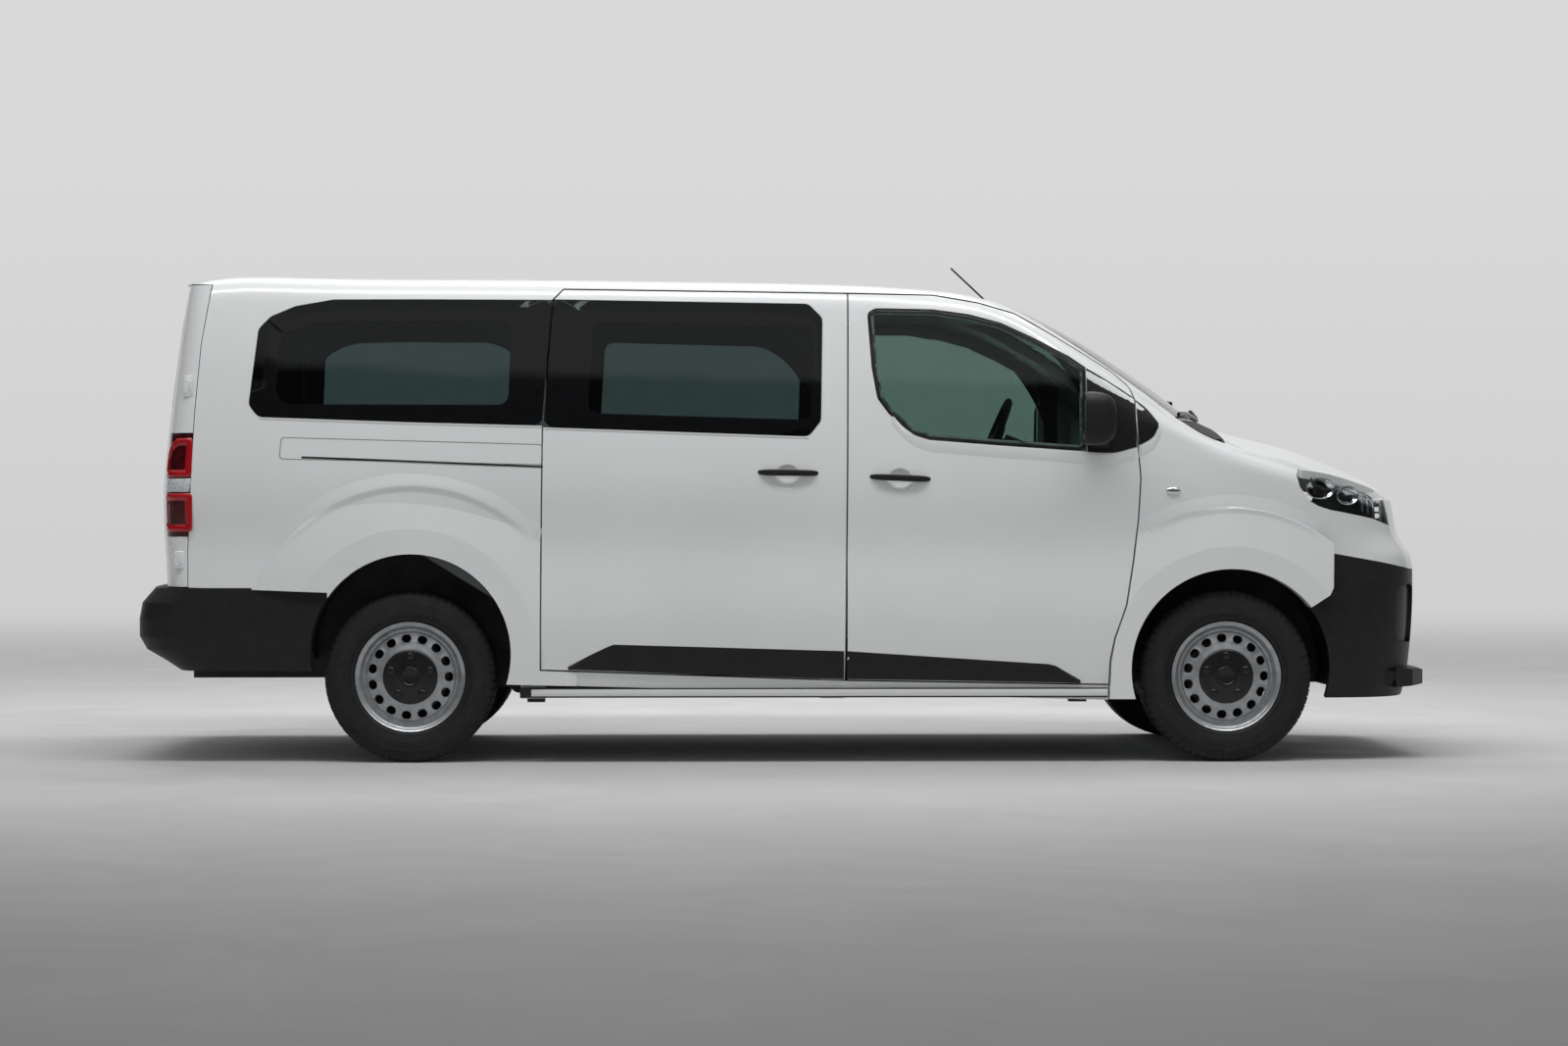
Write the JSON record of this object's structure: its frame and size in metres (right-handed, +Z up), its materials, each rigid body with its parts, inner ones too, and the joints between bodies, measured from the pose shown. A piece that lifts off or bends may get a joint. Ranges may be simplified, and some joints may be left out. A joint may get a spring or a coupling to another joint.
{
  "type": "minibus",
  "caption": "Long low-roof minibus with hinged front doors, twin rear doors, a side load door, glazed sides, opening bonnet, steering front wheels and bench seats.",
  "frame": {"origin": "middle of the length and width, on the ground", "axes": "+X forward, +Y to the left, +Z up"},
  "size_m": [5.3088, 2.204, 2.0469],
  "materials": {
    "black_plastic": "grained black",
    "cabin_plastic": "grained grey",
    "cast": "as cast",
    "fabric": "woven",
    "glass": "tinted",
    "lamp_clear": "clear cover over bright reflector",
    "lamp_red": "red lens",
    "paint": "gloss white paint",
    "tyre": "black rubber",
    "under": "satin black underbody paint",
    "wheel_steel": "silver paint"
  },
  "bodies": {
    "body": {"antenna": "black_plastic", "bulkhead": "under", "cowl": "black_plastic", "dashboard": "cabin_plastic", "door_posts": "paint", "driver_seat": "fabric", "engine_block": "cast", "fixed_side_glass": "glass", "floor_pan": "under", "front_bumper": "black_plastic", "front_subframe": "under", "front_wing_left": "paint", "front_wing_right": "paint", "grille": "black_plastic", "headlamp_left": "lamp_clear", "headlamp_right": "lamp_clear", "nose_panel": "paint", "passenger_bench": "fabric", "rear_axle": "under", "rear_bumper": "black_plastic", "roof_panel": "paint", "second_row_seats": "fabric", "side_panel_left": "paint", "side_panel_right": "paint", "sliding_door": "paint", "sliding_door_glass": "glass", "steering_column": "cabin_plastic", "tail_lamp_left": "lamp_red", "tail_lamp_right": "lamp_red", "third_row_seats": "fabric", "windscreen": "glass", "windscreen_frame": "paint"},
    "front_door_right_assembly": {"front_door_right": "paint", "front_door_glass_right": "glass", "door_mirror_right": "black_plastic", "front_door_handle_right": "black_plastic"},
    "rear_door_right_assembly": {"rear_door_right": "paint", "rear_door_glass_right": "glass"},
    "front_hub_right": {"knuckle_right": "cast"},
    "front_wheel_right": {"front_tyre_right": "tyre", "front_rim_right": "wheel_steel", "front_hub_cap_right": "black_plastic"},
    "rear_wheel_right": {"rear_tyre_right": "tyre", "rear_rim_right": "wheel_steel", "rear_hub_cap_right": "black_plastic"},
    "front_door_left_assembly": {"front_door_left": "paint", "front_door_glass_left": "glass", "door_mirror_left": "black_plastic", "front_door_handle_left": "black_plastic"},
    "rear_door_left_assembly": {"rear_door_left": "paint", "rear_door_glass_left": "glass"},
    "front_hub_left": {"knuckle_left": "cast"},
    "front_wheel_left": {"front_tyre_left": "tyre", "front_rim_left": "wheel_steel", "front_hub_cap_left": "black_plastic"},
    "rear_wheel_left": {"rear_tyre_left": "tyre", "rear_rim_left": "wheel_steel", "rear_hub_cap_left": "black_plastic"},
    "bonnet_lid": {"bonnet": "paint"},
    "steering_wheel_assembly": {"steering_wheel": "cabin_plastic"}
  },
  "joints": [
    {"name": "front_door_right_hinge", "type": "hinge", "parent": "body", "child": "front_door_right_assembly", "pos_m": [1.427, -0.965, 0.85], "axis": [0, 0, 1], "range_deg": [0, 70]},
    {"name": "front_door_left_hinge", "type": "hinge", "parent": "body", "child": "front_door_left_assembly", "pos_m": [1.427, 0.965, 0.85], "axis": [0, 0, -1], "range_deg": [0, 70]},
    {"name": "rear_door_right_hinge", "type": "hinge", "parent": "body", "child": "rear_door_right_assembly", "pos_m": [-2.384, -0.948, 1.2], "axis": [0, 0, 1], "range_deg": [0, 170]},
    {"name": "rear_door_left_hinge", "type": "hinge", "parent": "body", "child": "rear_door_left_assembly", "pos_m": [-2.384, 0.948, 1.2], "axis": [0, 0, -1], "range_deg": [0, 170]},
    {"name": "bonnet_hinge", "type": "hinge", "parent": "body", "child": "bonnet_lid", "pos_m": [1.797, 0, 1.366], "axis": [0, -1, 0], "range_deg": [0, 50]},
    {"name": "steer_right", "type": "hinge", "parent": "body", "child": "front_hub_right", "pos_m": [1.7735, -0.745, 0.343], "axis": [0, 0, 1], "range_deg": [-33, 33]},
    {"name": "steer_left", "type": "hinge", "parent": "body", "child": "front_hub_left", "pos_m": [1.7735, 0.745, 0.343], "axis": [0, 0, 1], "range_deg": [-33, 33]},
    {"name": "steering_wheel_turn", "type": "hinge", "parent": "body", "child": "steering_wheel_assembly", "pos_m": [0.945, 0.4, 1.325], "axis": [-0.9272, 0, 0.3746], "range_deg": [-500, 500]},
    {"name": "front_wheel_right_spin", "type": "hinge", "parent": "front_hub_right", "child": "front_wheel_right", "pos_m": [1.7735, -0.8135, 0.343], "axis": [0, 1, 0], "continuous": true},
    {"name": "rear_wheel_right_spin", "type": "hinge", "parent": "body", "child": "rear_wheel_right", "pos_m": [-1.5015, -0.8, 0.343], "axis": [0, 1, 0], "continuous": true},
    {"name": "front_wheel_left_spin", "type": "hinge", "parent": "front_hub_left", "child": "front_wheel_left", "pos_m": [1.7735, 0.8135, 0.343], "axis": [0, 1, 0], "continuous": true},
    {"name": "rear_wheel_left_spin", "type": "hinge", "parent": "body", "child": "rear_wheel_left", "pos_m": [-1.5015, 0.8, 0.343], "axis": [0, 1, 0], "continuous": true}
  ],
  "couplings": [
    {"joint": "steer_left", "follows": "steer_right", "ratio": 1},
    {"joint": "steering_wheel_turn", "follows": "steer_right", "ratio": 15}
  ]
}
